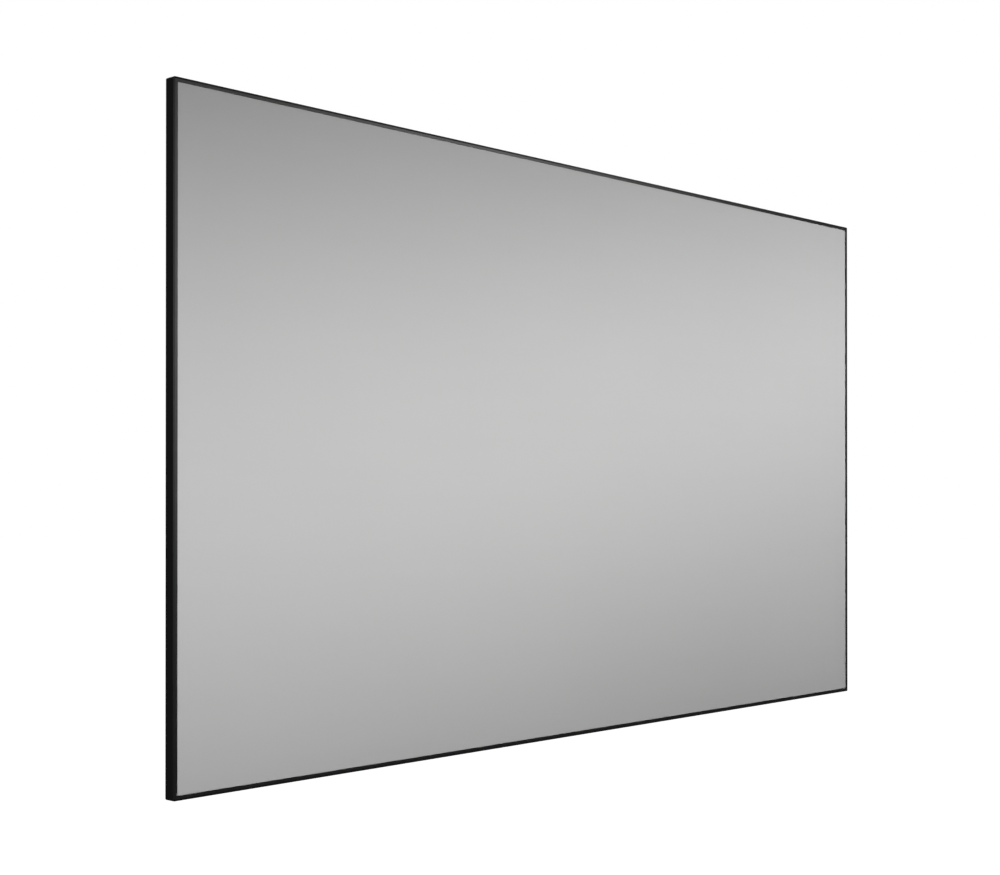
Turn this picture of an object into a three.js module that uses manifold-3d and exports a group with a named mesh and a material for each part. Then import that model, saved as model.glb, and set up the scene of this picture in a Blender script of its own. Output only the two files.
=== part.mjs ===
// Fixed-frame projection screen with a thin black bezel, 100 inch diagonal, 16:9.
// Millimetres, +Z up. The picture faces -Y and the wall is on the +Y side.
// The origin is the centre of the bounding box.
import * as THREE from "three";
import { mergeVertices } from "three/addons/utils/BufferGeometryUtils.js";
import Module from "manifold-3d";

// Picture and overall size
const PICTURE_WIDTH = 2214;
const PICTURE_HEIGHT = 1245;
const BEZEL_FACE = 9;
const WALL_PLANE = 23; // depth from the bezel's face to the wall

// Running gap between pieces that seat on each other
const CLEAR = 0.3;

// Faces round the small round forms, and steps in the film's bends
const ROD_SIDES = 8;
const COIL_SIDES = 6;
const EYE_STEPS = 6;
const SCREW_SIDES = 8;
const SOCKET_SIDES = 6;
const SLOT_END_STEPS = 4;
const BEND_STEPS = 2;
const LOOP_STEPS = 6;

// Snap-on bezel strip
const WALL_GAP = 0.4; // between the bezel's back edge and the wall
const BEZEL_WALL = 1.2;
const BEZEL_FRONT = 1.6;
const BEVEL_WIDTH = 3.6;
const BEVEL_DROP = 1;
const BARB_REACH = 3;
const BARB_THICK = 0.6;
const BARB_RAMP = 1.6;

// Screen film and its hem
const FILM = 0.5;
const BEND_RADIUS = 1; // of the rail's outer corners, which the film is folded over
const CORNER_NOTCH = 16; // cut out of each corner so that the flaps can fold
const HEM_CENTRE = 7.2; // from the rail's outer face to the rod
const WELD_WIDTH = 2.9;
const HEM_WINDOW = 9; // cut in the hem where a spring catches the rod

// Aluminium rail
const RAIL_DEPTH = 12;
const RAIL_WALL = 1.4;
const TUBE_WIDTH = 14;
const RIDGE_WIDTH = 4;
const RIDGE_DROP = 2;
const SLOT_WIDTH = 16;
const SLOT_MOUTH = 10;
const SLOT_DEPTH = 4.2;
const LIP_REACH = 4.6;
const LIP_HEIGHT = 5.3;
const LIP_SETBACK = 4.4; // from the rail's back to the front of the lip's flange

// Tension rods and springs
const ROD_RADIUS = 1.5;
const SPRING_PITCH = 150;
const SPRING_RADIUS = 2.2;
const SPRING_LENGTH = 19;
const SPRING_TAPER = 1.5;
const WIRE = 1;
const HOOK_DROP = 4;
const END_MARGIN = 60; // no spring is closer than this to a corner

// Corner plates, splice bars and their grub screws
const PLATE_THICK = 3.4;
const CORNER_LEG = 75;
const CORNER_CHAMFER = 3;
const SPLICE_LENGTH = 160;
const SCREW_RADIUS = 2.4;
const SCREW_END = 12; // from a plate's end to its last screw
const SCREW_STEP = 34; // between the two screws of a leg
const SOCKET_RADIUS = 1.45;
const SOCKET_DEPTH = 2;
const TIP_RADIUS = 1.2;

// Centre support bar and its clips
const BAR_WIDTH = 24;
const BAR_DEPTH = 9;
const BAR_WALL = 1.2;
const BAR_EDGE = 1.5; // radius of the tube's outer edges
const CLIP_COLLAR = 5.4;
const CLIP_FINGER = 1.6;
const SPIGOT_LENGTH = 22;

// Wall brackets
const BRACKET_WIDTH = 60;
const BRACKET_THICK = 2.4;
const BRACKET_BEND = 1.6; // inner radius where the plate turns into its tongue
const BRACKET_TONGUE = 2.6;
const BRACKET_TIP = 2;
const BRACKET_TIP_REACH = 2.8;
const BRACKET_DROP = 50;
const BRACKET_PITCHES = 4; // spring pitches from the middle to a bracket
const SCREW_SLOT_WIDTH = 6.5;
const SCREW_SLOT_LENGTH = 16;
const SCREW_SLOT_SPACING = 34;
const SCREW_SLOT_EDGE = 17; // from the plate's far edge to the slot's centre

// Places that follow. "In" is the distance inwards from the screen's outer edge, and
// "deep" is the distance back from the bezel's face.
const WIDTH = PICTURE_WIDTH + 2 * BEZEL_FACE;
const HEIGHT = PICTURE_HEIGHT + 2 * BEZEL_FACE;
const FILM_IN = BEZEL_WALL + CLEAR;
const FILM_DEEP = BEZEL_FRONT + CLEAR;
const RAIL_IN = FILM_IN + FILM + CLEAR;
const RAIL_DEEP = FILM_DEEP + FILM + CLEAR;
const RAIL_BACK = RAIL_DEEP + RAIL_DEPTH;
const FILM_BACK = RAIL_BACK + CLEAR;
const SLOT_IN = RAIL_IN + TUBE_WIDTH;
const SLOT_END = SLOT_IN + SLOT_WIDTH;
const SLOT_MIDDLE = SLOT_IN + SLOT_WIDTH / 2;
const SLOT_CEILING = RAIL_BACK - RAIL_WALL;
const SLOT_FLOOR = SLOT_CEILING - SLOT_DEPTH;
const MOUTH_IN = SLOT_MIDDLE - SLOT_MOUTH / 2;
const MOUTH_END = SLOT_MIDDLE + SLOT_MOUTH / 2;
const FLANGE_IN = SLOT_END + RAIL_WALL;
const FLANGE_DEEP = RAIL_BACK - LIP_SETBACK;
const LIP_END = FLANGE_IN + LIP_REACH;
const LIP_IN = LIP_END - RAIL_WALL;
const LIP_TIP = FLANGE_DEEP + LIP_HEIGHT;
const POCKET_RADIUS = ROD_RADIUS + CLEAR;
const LOOP_RADIUS = POCKET_RADIUS + FILM;
const ROD_IN = RAIL_IN + HEM_CENTRE;
const ROD_DEEP = FILM_BACK + LOOP_RADIUS;
const PLATE_BACK = SLOT_CEILING - CLEAR;
const PLATE_FRONT = PLATE_BACK - PLATE_THICK;
const COLLAR_IN = LIP_END + CLEAR;
const BAR_IN = COLLAR_IN + CLIP_COLLAR;
const BAR_DEEP = RAIL_BACK - BAR_DEPTH;
const BRACKET_DEEP = WALL_PLANE - BRACKET_THICK;
const BRACKET_OFFSET = BRACKET_PITCHES * SPRING_PITCH;

const wasm = await Module();
wasm.setup();

const finish = (color, roughness, metalness) =>
  new THREE.MeshStandardMaterial({ color, roughness, metalness });
const bezelBlack = finish(0x1c1c1e, 0.42, 0.6);
const frameBlack = finish(0x1a1a1b, 0.55, 0.4);
const filmGrey = finish(0xa6a7a8, 0.55, 0.15);
const springSteel = finish(0xb8babd, 0.3, 1);
const zincSteel = finish(0xa9adb2, 0.38, 1);
const screwSteel = finish(0x2a2a2c, 0.35, 0.9);
const clipPlastic = finish(0x18181a, 0.6, 0);

// A closed geometry as a solid that can be cut and joined.
function solidOf(geometry) {
  const loose = geometry.index ? geometry.toNonIndexed() : geometry;
  const bare = new THREE.BufferGeometry();
  bare.setAttribute("position", loose.getAttribute("position"));
  const merged = mergeVertices(bare, 1e-4);
  const vertProperties = merged.getAttribute("position").array;
  const triVerts = new Uint32Array(merged.index.array);
  return new wasm.Manifold(new wasm.Mesh({ numProp: 3, vertProperties, triVerts }));
}

function geometryOf(solid) {
  const mesh = solid.getMesh();
  const positions = new Float32Array(mesh.numVert * 3);
  for (let i = 0; i < mesh.numVert; i += 1) {
    const from = i * mesh.numProp;
    positions.set(mesh.vertProperties.subarray(from, from + 3), i * 3);
  }
  const indexed = new THREE.BufferGeometry();
  indexed.setAttribute("position", new THREE.BufferAttribute(positions, 3));
  indexed.setIndex(new THREE.BufferAttribute(mesh.triVerts, 1));
  const geometry = indexed.toNonIndexed();
  geometry.computeVertexNormals();
  return geometry;
}

function node(name, shape, material) {
  const geometry = shape.isBufferGeometry ? shape : geometryOf(shape);
  const mesh = new THREE.Mesh(geometry, material);
  mesh.name = name;
  return mesh;
}

// Points on an arc in a section, from one angle to another, both ends included.
function arc(centreIn, centreDeep, radius, fromAngle, toAngle, steps) {
  return Array.from({ length: steps + 1 }, (_, i) => {
    const angle = fromAngle + ((toAngle - fromAngle) * i) / steps;
    return [centreIn + radius * Math.cos(angle), centreDeep + radius * Math.sin(angle)];
  });
}

// A section is a list of [in, deep] points. Drawn as a shape, deep runs along the shape's
// x, and in runs down its y.
function sectionPath(points, Type) {
  return new Type(points.map(([inwards, deep]) => new THREE.Vector2(deep, -inwards)));
}

// Runs a section along one side of the screen, from x = from to x = to. A mitre of 1 cuts
// that end back by 1 mm for each mm inwards, and 0 leaves it square.
function strip(points, from, to, { holes = [], mitreFrom = 0, mitreTo = 0 } = {}) {
  const shape = sectionPath(points, THREE.Shape);
  shape.holes = holes.map((hole) => sectionPath(hole, THREE.Path));
  const geometry = new THREE.ExtrudeGeometry(shape, { depth: 1, bevelEnabled: false });
  const position = geometry.getAttribute("position");
  for (let i = 0; i < position.count; i += 1) {
    const deep = position.getX(i);
    const inwards = -position.getY(i);
    const atStart = position.getZ(i) < 0.5;
    const along = atStart ? from + mitreFrom * inwards : to - mitreTo * inwards;
    position.setXYZ(i, along, deep, -inwards);
  }
  geometry.deleteAttribute("uv");
  geometry.computeVertexNormals();
  return geometry;
}

// A flat plate from a shape drawn as seen from the front: x along, y up.
function plate(shape, front, back) {
  const geometry = new THREE.ExtrudeGeometry(shape, {
    depth: back - front,
    bevelEnabled: false,
  });
  geometry.rotateX(Math.PI / 2);
  geometry.translate(0, back, 0);
  return geometry;
}

function rectangle(left, right, bottom, top) {
  return new THREE.Shape([
    new THREE.Vector2(left, bottom),
    new THREE.Vector2(right, bottom),
    new THREE.Vector2(right, top),
    new THREE.Vector2(left, top),
  ]);
}

// The same with round corners.
function roundedRectangle(left, right, bottom, top, radius) {
  const corners = [
    [right - radius, top - radius],
    [left + radius, top - radius],
    [left + radius, bottom + radius],
    [right - radius, bottom + radius],
  ];
  const turn = Math.PI / 2;
  const points = corners.flatMap(([x, y], i) =>
    arc(x, y, radius, i * turn, (i + 1) * turn, BEND_STEPS),
  );
  return new THREE.Shape(points.map(([x, y]) => new THREE.Vector2(x, y)));
}

function screwHole(x, y) {
  const radius = SCREW_RADIUS + CLEAR;
  const spots = Array.from({ length: SCREW_SIDES }, (_, i) => (2 * Math.PI * i) / SCREW_SIDES);
  return new THREE.Path(
    spots.map((a) => new THREE.Vector2(x + radius * Math.cos(a), y + radius * Math.sin(a))),
  );
}

// Section of the bezel strip: bevelled face, side wall, and the barb that snaps behind the
// folded film at the rail's back corner.
function bezelSection() {
  const barb = FILM_BACK + FILM + CLEAR;
  const barbEnd = BEZEL_WALL + BARB_REACH;
  const back = WALL_PLANE - WALL_GAP;
  return [
    [0, BEVEL_DROP],
    [BEVEL_WIDTH, 0],
    [BEZEL_FACE, 0],
    [BEZEL_FACE, BEZEL_FRONT],
    [BEZEL_WALL, BEZEL_FRONT],
    [BEZEL_WALL, barb],
    [barbEnd, barb],
    [barbEnd, barb + BARB_THICK],
    [BEZEL_WALL, barb + BARB_THICK + BARB_RAMP],
    [BEZEL_WALL, back],
    [0, back],
  ];
}

// Section of the rail: a hollow tube with a front ridge that carries the film, a T-slot
// open to the back, and a J-shaped lip along the inner edge for the springs.
function railSection() {
  const bendIn = RAIL_IN + BEND_RADIUS;
  const ridgeEnd = RAIL_IN + RIDGE_WIDTH;
  const shoulder = RAIL_DEEP + RIDGE_DROP;
  return [
    ...arc(bendIn, RAIL_DEEP + BEND_RADIUS, BEND_RADIUS, -Math.PI, -Math.PI / 2, BEND_STEPS),
    [ridgeEnd, RAIL_DEEP],
    [ridgeEnd + RIDGE_DROP, shoulder],
    [SLOT_IN, shoulder],
    [SLOT_IN, SLOT_FLOOR - RAIL_WALL],
    [FLANGE_IN, SLOT_FLOOR - RAIL_WALL],
    [FLANGE_IN, FLANGE_DEEP],
    [LIP_END, FLANGE_DEEP],
    [LIP_END, LIP_TIP],
    [LIP_IN, LIP_TIP],
    [LIP_IN, FLANGE_DEEP + RAIL_WALL],
    [FLANGE_IN, FLANGE_DEEP + RAIL_WALL],
    [FLANGE_IN, RAIL_BACK],
    [MOUTH_END, RAIL_BACK],
    [MOUTH_END, SLOT_CEILING],
    [SLOT_END, SLOT_CEILING],
    [SLOT_END, SLOT_FLOOR],
    [SLOT_IN, SLOT_FLOOR],
    [SLOT_IN, SLOT_CEILING],
    [MOUTH_IN, SLOT_CEILING],
    [MOUTH_IN, RAIL_BACK],
    ...arc(bendIn, RAIL_BACK - BEND_RADIUS, BEND_RADIUS, Math.PI / 2, Math.PI, BEND_STEPS),
  ];
}

function railChamber() {
  const turn = RAIL_WALL * Math.tan(Math.PI / 8); // keeps the wall even round the slope
  const slopeStart = RAIL_IN + RIDGE_WIDTH - turn;
  return [
    [RAIL_IN + RAIL_WALL, RAIL_DEEP + RAIL_WALL],
    [slopeStart, RAIL_DEEP + RAIL_WALL],
    [slopeStart + RIDGE_DROP, RAIL_DEEP + RIDGE_DROP + RAIL_WALL],
    [SLOT_IN - RAIL_WALL, RAIL_DEEP + RIDGE_DROP + RAIL_WALL],
    [SLOT_IN - RAIL_WALL, SLOT_CEILING],
    [RAIL_IN + RAIL_WALL, SLOT_CEILING],
  ];
}

// Section of one film flap: it bends round the rail's edge and back, and ends in a welded
// loop that holds the tension rod.
function flapSection() {
  const inner = BEND_RADIUS + CLEAR;
  const outer = inner + FILM;
  const bendIn = RAIL_IN + BEND_RADIUS;
  const frontBend = RAIL_DEEP + BEND_RADIUS;
  const backBend = RAIL_BACK - BEND_RADIUS;
  const weldTop = FILM_BACK + 2 * FILM;
  const weldAngle = Math.asin((weldTop - ROD_DEEP) / LOOP_RADIUS);
  const weldEnd = ROD_IN - LOOP_RADIUS * Math.cos(weldAngle);
  const lap = bendIn + outer; // laps the flat front, so that the two join
  return [
    [lap, FILM_DEEP],
    ...arc(bendIn, frontBend, outer, -Math.PI / 2, -Math.PI, BEND_STEPS),
    ...arc(bendIn, backBend, outer, Math.PI, Math.PI / 2, BEND_STEPS),
    [weldEnd - WELD_WIDTH, FILM_BACK + FILM],
    [weldEnd - WELD_WIDTH, weldTop],
    ...arc(ROD_IN, ROD_DEEP, LOOP_RADIUS, Math.PI - weldAngle, -Math.PI / 2, LOOP_STEPS),
    ...arc(bendIn, backBend, inner, Math.PI / 2, Math.PI, BEND_STEPS),
    ...arc(bendIn, frontBend, inner, -Math.PI, -Math.PI / 2, BEND_STEPS),
    [lap, FILM_DEEP + FILM],
  ];
}

// Where the springs of a half side stand, measured from its middle.
function springPlaces(halfLength) {
  const places = [];
  for (let x = SPRING_PITCH / 2; x < halfLength - END_MARGIN; x += SPRING_PITCH) {
    places.push(x);
  }
  return places;
}

const mirrored = (places) => [...places.map((x) => -x), ...places];

// The film flap of one side, with a window in its hem at each spring.
function filmFlap({ halfLength, halfAcross }) {
  const reach = halfLength - CORNER_NOTCH;
  const pocket = arc(ROD_IN, ROD_DEEP, POCKET_RADIUS, 0, 2 * Math.PI, ROD_SIDES).slice(1);
  const flap = solidOf(strip(flapSection(), -reach, reach, { holes: [pocket] }));
  const windowIn = ROD_IN - LOOP_RADIUS - WIRE;
  const windowEnd = ROD_IN + LOOP_RADIUS + WIRE;
  const window = [
    [windowIn, RAIL_BACK],
    [windowEnd, RAIL_BACK],
    [windowEnd, BRACKET_DEEP],
    [windowIn, BRACKET_DEEP],
  ];
  const windows = mirrored(springPlaces(halfLength)).map((x) =>
    solidOf(strip(window, x - HEM_WINDOW / 2, x + HEM_WINDOW / 2)),
  );
  return flap.subtract(wasm.Manifold.union(windows)).translate([0, 0, halfAcross]);
}

// One sheet of film: the flat front and four folded flaps.
function screenFilm(sides) {
  const border = RAIL_IN + BEND_RADIUS;
  const halfWidth = WIDTH / 2 - border;
  const halfHeight = HEIGHT / 2 - border;
  const front = solidOf(
    plate(rectangle(-halfWidth, halfWidth, -halfHeight, halfHeight), FILM_DEEP, FILM_DEEP + FILM),
  );
  const flaps = sides.map((side) => filmFlap(side).rotate([0, 90 * side.quarterTurns, 0]));
  return wasm.Manifold.union([front, ...flaps]);
}

// The wire of a spring in section: an eye round the rod, a straight run through the coil,
// and a hook that drops behind the rail's lip.
function springWire() {
  const half = WIRE / 2;
  const eye = ROD_RADIUS + WIRE;
  const neck = Math.asin(half / eye);
  const hookIn = LIP_END + CLEAR;
  return [
    ...arc(ROD_IN, ROD_DEEP, eye, neck, 2 * Math.PI - neck, EYE_STEPS),
    [hookIn, ROD_DEEP - half],
    [hookIn, ROD_DEEP - half - HOOK_DROP],
    [hookIn + WIRE, ROD_DEEP - half - HOOK_DROP],
    ...arc(hookIn, ROD_DEEP - half, WIRE, 0, Math.PI / 2, BEND_STEPS),
  ];
}

// A close-wound coil, tapered at both ends, lying across the rail.
function springCoil() {
  const slim = WIRE;
  const profile = [
    [0, 0],
    [slim, 0],
    [SPRING_RADIUS, SPRING_TAPER],
    [SPRING_RADIUS, SPRING_LENGTH - SPRING_TAPER],
    [slim, SPRING_LENGTH],
    [0, SPRING_LENGTH],
  ].map(([radius, height]) => new THREE.Vector2(radius, height));
  const coil = new THREE.LatheGeometry(profile, COIL_SIDES);
  const middle = (ROD_IN + LIP_IN) / 2;
  coil.rotateX(Math.PI / 2);
  coil.translate(0, ROD_DEEP, -middle - SPRING_LENGTH / 2);
  return solidOf(coil);
}

// A tension rod with the springs that hang on it.
function rodAndSprings(from, to, places) {
  const rodSection = arc(ROD_IN, ROD_DEEP, ROD_RADIUS, 0, 2 * Math.PI, ROD_SIDES).slice(1);
  const rod = solidOf(strip(rodSection, from, to));
  const wire = solidOf(strip(springWire(), -WIRE / 2, WIRE / 2));
  const spring = wire.add(springCoil());
  const springs = places.map((x) => spring.translate([x, 0, 0]));
  return wasm.Manifold.union([rod, ...springs]);
}

// An L-shaped plate that joins two mitred rails. It slides in their slots.
function cornerPlate(screws) {
  const near = SLOT_IN + CLEAR;
  const far = SLOT_END - CLEAR;
  const end = near + CORNER_LEG;
  const outline = [
    [near + CORNER_CHAMFER, near],
    [end, near],
    [end, far],
    [far, far],
    [far, end],
    [near, end],
    [near, near + CORNER_CHAMFER],
  ];
  const shape = new THREE.Shape(outline.map(([x, y]) => new THREE.Vector2(-x, -y)));
  shape.holes = screws.map(([x, y]) => screwHole(x, y));
  return plate(shape, PLATE_FRONT, PLATE_BACK);
}

function cornerScrewPlaces() {
  const last = SLOT_IN + CLEAR + CORNER_LEG - SCREW_END;
  return [last, last - SCREW_STEP].flatMap((far) => [
    [-far, -SLOT_MIDDLE],
    [-SLOT_MIDDLE, -far],
  ]);
}

// A straight bar that joins the two halves of a long rail.
function splicePlate(screws) {
  const half = SPLICE_LENGTH / 2;
  const shape = rectangle(-half, half, -(SLOT_END - CLEAR), -(SLOT_IN + CLEAR));
  shape.holes = screws.map(([x, y]) => screwHole(x, y));
  return plate(shape, PLATE_FRONT, PLATE_BACK);
}

function spliceScrewPlaces() {
  const last = SPLICE_LENGTH / 2 - SCREW_END;
  return [-last, SCREW_STEP - last, last - SCREW_STEP, last].map((x) => [x, -SLOT_MIDDLE]);
}

// A grub screw: its tip jacks the plate off the slot's floor and against the slot's lips.
function grubScrew() {
  const tip = SLOT_FLOOR + CLEAR;
  const profile = [
    [0, tip],
    [TIP_RADIUS, tip],
    [SCREW_RADIUS, tip + SCREW_RADIUS - TIP_RADIUS],
    [SCREW_RADIUS, PLATE_BACK],
    [0, PLATE_BACK],
  ].map(([radius, height]) => new THREE.Vector2(radius, height));
  const body = solidOf(new THREE.LatheGeometry(profile, SCREW_SIDES));
  const socket = new THREE.CylinderGeometry(
    SOCKET_RADIUS,
    SOCKET_RADIUS,
    2 * SOCKET_DEPTH,
    SOCKET_SIDES,
  );
  socket.translate(0, PLATE_BACK, 0);
  return body.subtract(solidOf(socket));
}

function addScrews(group, name, places) {
  places.forEach(([x, z], i) => {
    const screw = node(`${name}_screw_${i + 1}`, grubScrew(), screwSteel);
    screw.position.set(x, 0, z);
    group.add(screw);
  });
}

// The clip that holds an end of the centre bar on the rail's lip: two fingers round the
// flange, a collar, and a spigot inside the bar.
function barClip() {
  const fingerIn = FLANGE_IN + CLEAR;
  const hookEnd = LIP_IN - CLEAR;
  const hookDeep = LIP_TIP + CLEAR;
  const grip = [
    [fingerIn, FLANGE_DEEP - CLEAR - CLIP_FINGER],
    [fingerIn, FLANGE_DEEP - CLEAR],
    [COLLAR_IN, FLANGE_DEEP - CLEAR],
    [COLLAR_IN, hookDeep],
    [hookEnd, hookDeep],
    [hookEnd, FLANGE_DEEP + RAIL_WALL + CLEAR],
    [fingerIn, FLANGE_DEEP + RAIL_WALL + CLEAR],
    [fingerIn, hookDeep + CLIP_FINGER],
    [BAR_IN, hookDeep + CLIP_FINGER],
    [BAR_IN, BAR_DEEP],
    [COLLAR_IN + CLIP_FINGER, BAR_DEEP],
    [COLLAR_IN, FLANGE_DEEP - CLEAR - CLIP_FINGER],
  ];
  const inset = BAR_WALL + CLEAR;
  const spigot = [
    [BAR_IN - CLIP_FINGER, BAR_DEEP + inset],
    [BAR_IN + SPIGOT_LENGTH, BAR_DEEP + inset],
    [BAR_IN + SPIGOT_LENGTH, RAIL_BACK - inset],
    [BAR_IN - CLIP_FINGER, RAIL_BACK - inset],
  ];
  const half = BAR_WIDTH / 2;
  return solidOf(strip(grip, -half, half)).add(
    solidOf(strip(spigot, inset - half, half - inset)),
  );
}

// The upright tube that keeps the long rails from bowing.
function centreBar() {
  const half = BAR_WIDTH / 2;
  const inside = half - BAR_WALL;
  const reach = HEIGHT / 2 - BAR_IN - CLEAR;
  const shape = roundedRectangle(-half, half, BAR_DEEP, RAIL_BACK, BAR_EDGE);
  const bore = rectangle(-inside, inside, BAR_DEEP + BAR_WALL, RAIL_BACK - BAR_WALL);
  shape.holes = [new THREE.Path(bore.getPoints())];
  const tube = new THREE.ExtrudeGeometry(shape, { depth: 2 * reach, bevelEnabled: false });
  tube.translate(0, 0, -reach);
  return tube;
}

// The two sides of the bend between a bracket's tongue and its plate. The inner one runs
// from the tongue's face to the plate's front, the outer one from the plate's back to the
// tongue.
function innerBend(faceIn) {
  const centre = BRACKET_DEEP - BRACKET_BEND;
  return arc(faceIn + BRACKET_BEND, centre, BRACKET_BEND, Math.PI, Math.PI / 2, BEND_STEPS);
}

function outerBend(faceIn) {
  const radius = BRACKET_BEND + BRACKET_THICK;
  return arc(faceIn + radius, WALL_PLANE - radius, radius, Math.PI / 2, Math.PI, BEND_STEPS);
}

// Wall brackets: a hook in the rail's slot carries the slot's upper lip, and a flat plate
// with two upright screw slots lies on the wall. The plate of an upper bracket goes down
// from its hook, and the plate of a lower bracket goes up.
function upperBracketSection() {
  const tongueIn = MOUTH_IN + CLEAR;
  const tipBack = SLOT_CEILING - CLEAR;
  return [
    [tongueIn - BRACKET_TIP_REACH, tipBack - BRACKET_TIP],
    [tongueIn + BRACKET_TONGUE, tipBack - BRACKET_TIP],
    ...innerBend(tongueIn + BRACKET_TONGUE),
    [tongueIn + BRACKET_DROP, BRACKET_DEEP],
    [tongueIn + BRACKET_DROP, WALL_PLANE],
    ...outerBend(tongueIn),
    [tongueIn, tipBack],
    [tongueIn - BRACKET_TIP_REACH, tipBack],
  ];
}

function lowerBracketSection() {
  const tongueIn = MOUTH_END - CLEAR;
  const tipBack = SLOT_CEILING - CLEAR;
  return [
    [tongueIn - BRACKET_TONGUE, tipBack - BRACKET_TIP],
    [tongueIn + BRACKET_TIP_REACH, tipBack - BRACKET_TIP],
    [tongueIn + BRACKET_TIP_REACH, tipBack],
    [tongueIn, tipBack],
    ...innerBend(tongueIn),
    [tongueIn + BRACKET_DROP, BRACKET_DEEP],
    [tongueIn + BRACKET_DROP, WALL_PLANE],
    ...outerBend(tongueIn - BRACKET_TONGUE),
  ];
}

function screwSlot(x, middle) {
  const radius = SCREW_SLOT_WIDTH / 2;
  const straight = (SCREW_SLOT_LENGTH - SCREW_SLOT_WIDTH) / 2;
  const shape = new THREE.Shape();
  shape.absarc(x, middle + straight, radius, 0, Math.PI);
  shape.absarc(x, middle - straight, radius, Math.PI, 2 * Math.PI);
  const cut = new THREE.ExtrudeGeometry(shape, {
    depth: 3 * BRACKET_THICK,
    bevelEnabled: false,
    curveSegments: SLOT_END_STEPS,
  });
  cut.rotateX(Math.PI / 2);
  cut.translate(0, WALL_PLANE + BRACKET_THICK, 0);
  return solidOf(cut);
}

function wallBracket(section) {
  const farEdge = Math.max(...section.map(([inwards]) => inwards));
  const middle = SCREW_SLOT_EDGE - farEdge;
  const body = solidOf(strip(section, -BRACKET_WIDTH / 2, BRACKET_WIDTH / 2));
  const slots = [-1, 1].map((hand) => screwSlot((hand * SCREW_SLOT_SPACING) / 2, middle));
  return body.subtract(wasm.Manifold.union(slots));
}

// The four sides, each drawn as the top side and turned about Y. A long side is split in
// two at its middle, and "hands" names the piece on each side of that split.
const longSide = { halfLength: WIDTH / 2, halfAcross: HEIGHT / 2 };
const shortSide = { halfLength: HEIGHT / 2, halfAcross: WIDTH / 2 };
const SIDES = [
  { name: "top", quarterTurns: 0, corner: "top_right", hands: ["left", "right"], ...longSide },
  { name: "right", quarterTurns: 1, corner: "bottom_right", ...shortSide },
  { name: "bottom", quarterTurns: 2, corner: "bottom_left", hands: ["right", "left"], ...longSide },
  { name: "left", quarterTurns: 3, corner: "top_left", ...shortSide },
];

// The pieces that run the length of a side: two halves on a long side, one on a short one.
function runs({ name, hands, halfLength }) {
  const end = halfLength - CLEAR / Math.SQRT2; // half the gap in the mitre, along the side
  if (!hands) {
    const places = mirrored(springPlaces(halfLength));
    return [{ label: name, from: -end, to: end, mitreFrom: 1, mitreTo: 1, places }];
  }
  const places = springPlaces(halfLength);
  const gap = CLEAR / 2;
  return [
    {
      label: `${name}_${hands[0]}`,
      from: -end,
      to: -gap,
      mitreFrom: 1,
      mitreTo: 0,
      places: places.map((x) => -x),
    },
    { label: `${name}_${hands[1]}`, from: gap, to: end, mitreFrom: 0, mitreTo: 1, places },
  ];
}

function buildSide(side) {
  const { name, quarterTurns, corner, hands, halfLength, halfAcross } = side;
  const group = new THREE.Group();
  group.rotation.y = (quarterTurns * Math.PI) / 2;
  for (const { label, from, to, mitreFrom, mitreTo, places } of runs(side)) {
    const ends = { mitreFrom, mitreTo };
    const rail = strip(railSection(), from, to, { ...ends, holes: [railChamber()] });
    const bezel = strip(bezelSection(), from, to, ends);
    const rodFrom = from + mitreFrom * CORNER_NOTCH;
    const rodTo = to - mitreTo * CORNER_NOTCH;
    const rod = rodAndSprings(rodFrom, rodTo, places);
    const pieces = [
      node(`${label}_rail`, rail, frameBlack),
      node(`${label}_bezel`, bezel, bezelBlack),
      node(`${label}_rod_and_springs`, rod, springSteel),
    ];
    pieces.forEach((piece) => piece.position.setZ(halfAcross));
    group.add(...pieces);
  }

  const cornerGroup = new THREE.Group();
  cornerGroup.position.set(halfLength, 0, halfAcross);
  const cornerScrews = cornerScrewPlaces();
  cornerGroup.add(node(`${corner}_corner_plate`, cornerPlate(cornerScrews), zincSteel));
  addScrews(cornerGroup, `${corner}_corner`, cornerScrews);
  group.add(cornerGroup);

  if (hands) {
    const middle = new THREE.Group();
    middle.position.z = halfAcross;
    const spliceScrews = spliceScrewPlaces();
    middle.add(node(`${name}_splice_bar`, splicePlate(spliceScrews), zincSteel));
    addScrews(middle, `${name}_splice`, spliceScrews);
    middle.add(node(`${name}_bar_clip`, barClip(), clipPlastic));
    const section = name === "top" ? upperBracketSection() : lowerBracketSection();
    hands.forEach((hand, i) => {
      const bracket = node(`${name}_${hand}_wall_bracket`, wallBracket(section), zincSteel);
      bracket.position.x = (2 * i - 1) * BRACKET_OFFSET;
      middle.add(bracket);
    });
    group.add(middle);
  }
  return group;
}

const screen = new THREE.Group();
screen.position.y = -WALL_PLANE / 2;
screen.add(...SIDES.map(buildSide));
screen.add(node("screen_film", screenFilm(SIDES), filmGrey));
screen.add(node("centre_bar", centreBar(), frameBlack));

export default screen;
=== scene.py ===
import math
from itertools import pairwise

import bpy
from mathutils import Matrix, Vector


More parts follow.
